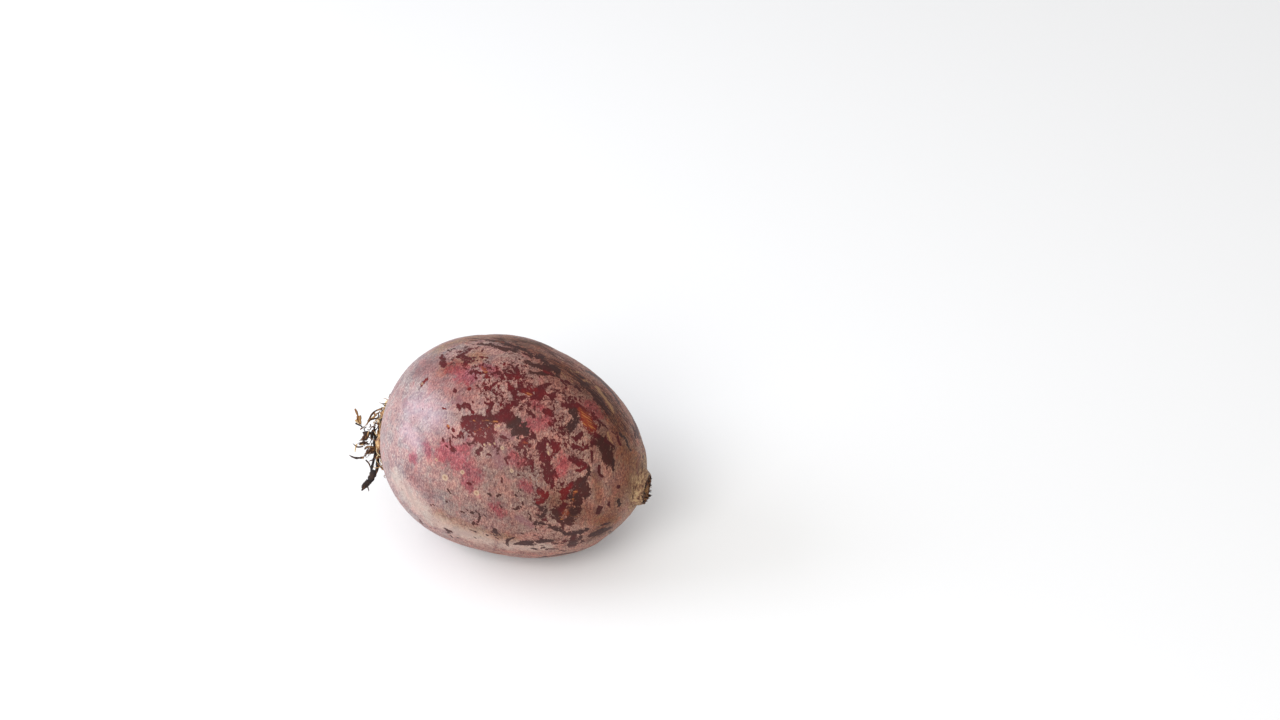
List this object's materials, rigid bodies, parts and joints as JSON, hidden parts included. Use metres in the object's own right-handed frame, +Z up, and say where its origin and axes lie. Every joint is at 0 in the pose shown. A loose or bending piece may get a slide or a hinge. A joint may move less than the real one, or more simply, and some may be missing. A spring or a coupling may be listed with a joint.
{
  "type": "beetroot",
  "caption": "Whole raw beetroot lying on its side: a swollen round root with a broken tap root at one end and tufts of dried leaf stalk on a corky crown at the other.",
  "frame": {"origin": "on the surface that the beetroot lies on, under the middle of the whole part's bounding box", "axes": "+Z up; +X along the root from the crown with its dried stalks to the broken tail; +Y across"},
  "size_m": [0.1, 0.0682, 0.0678],
  "materials": {
    "beet_skin": "dry matt vegetable skin, pinkish grey scurf with maroon worn patches",
    "dark_stalk": "dried leaf stalk, nearly black, matt and fibrous",
    "tan_stalk": "dried leaf stalk, tan brown, matt and fibrous"
  },
  "bodies": {
    "root": {"beet_root": "beet_skin", "dark_stalk_tuft": "dark_stalk", "tan_stalk_tuft": "tan_stalk"}
  },
  "joints": []
}
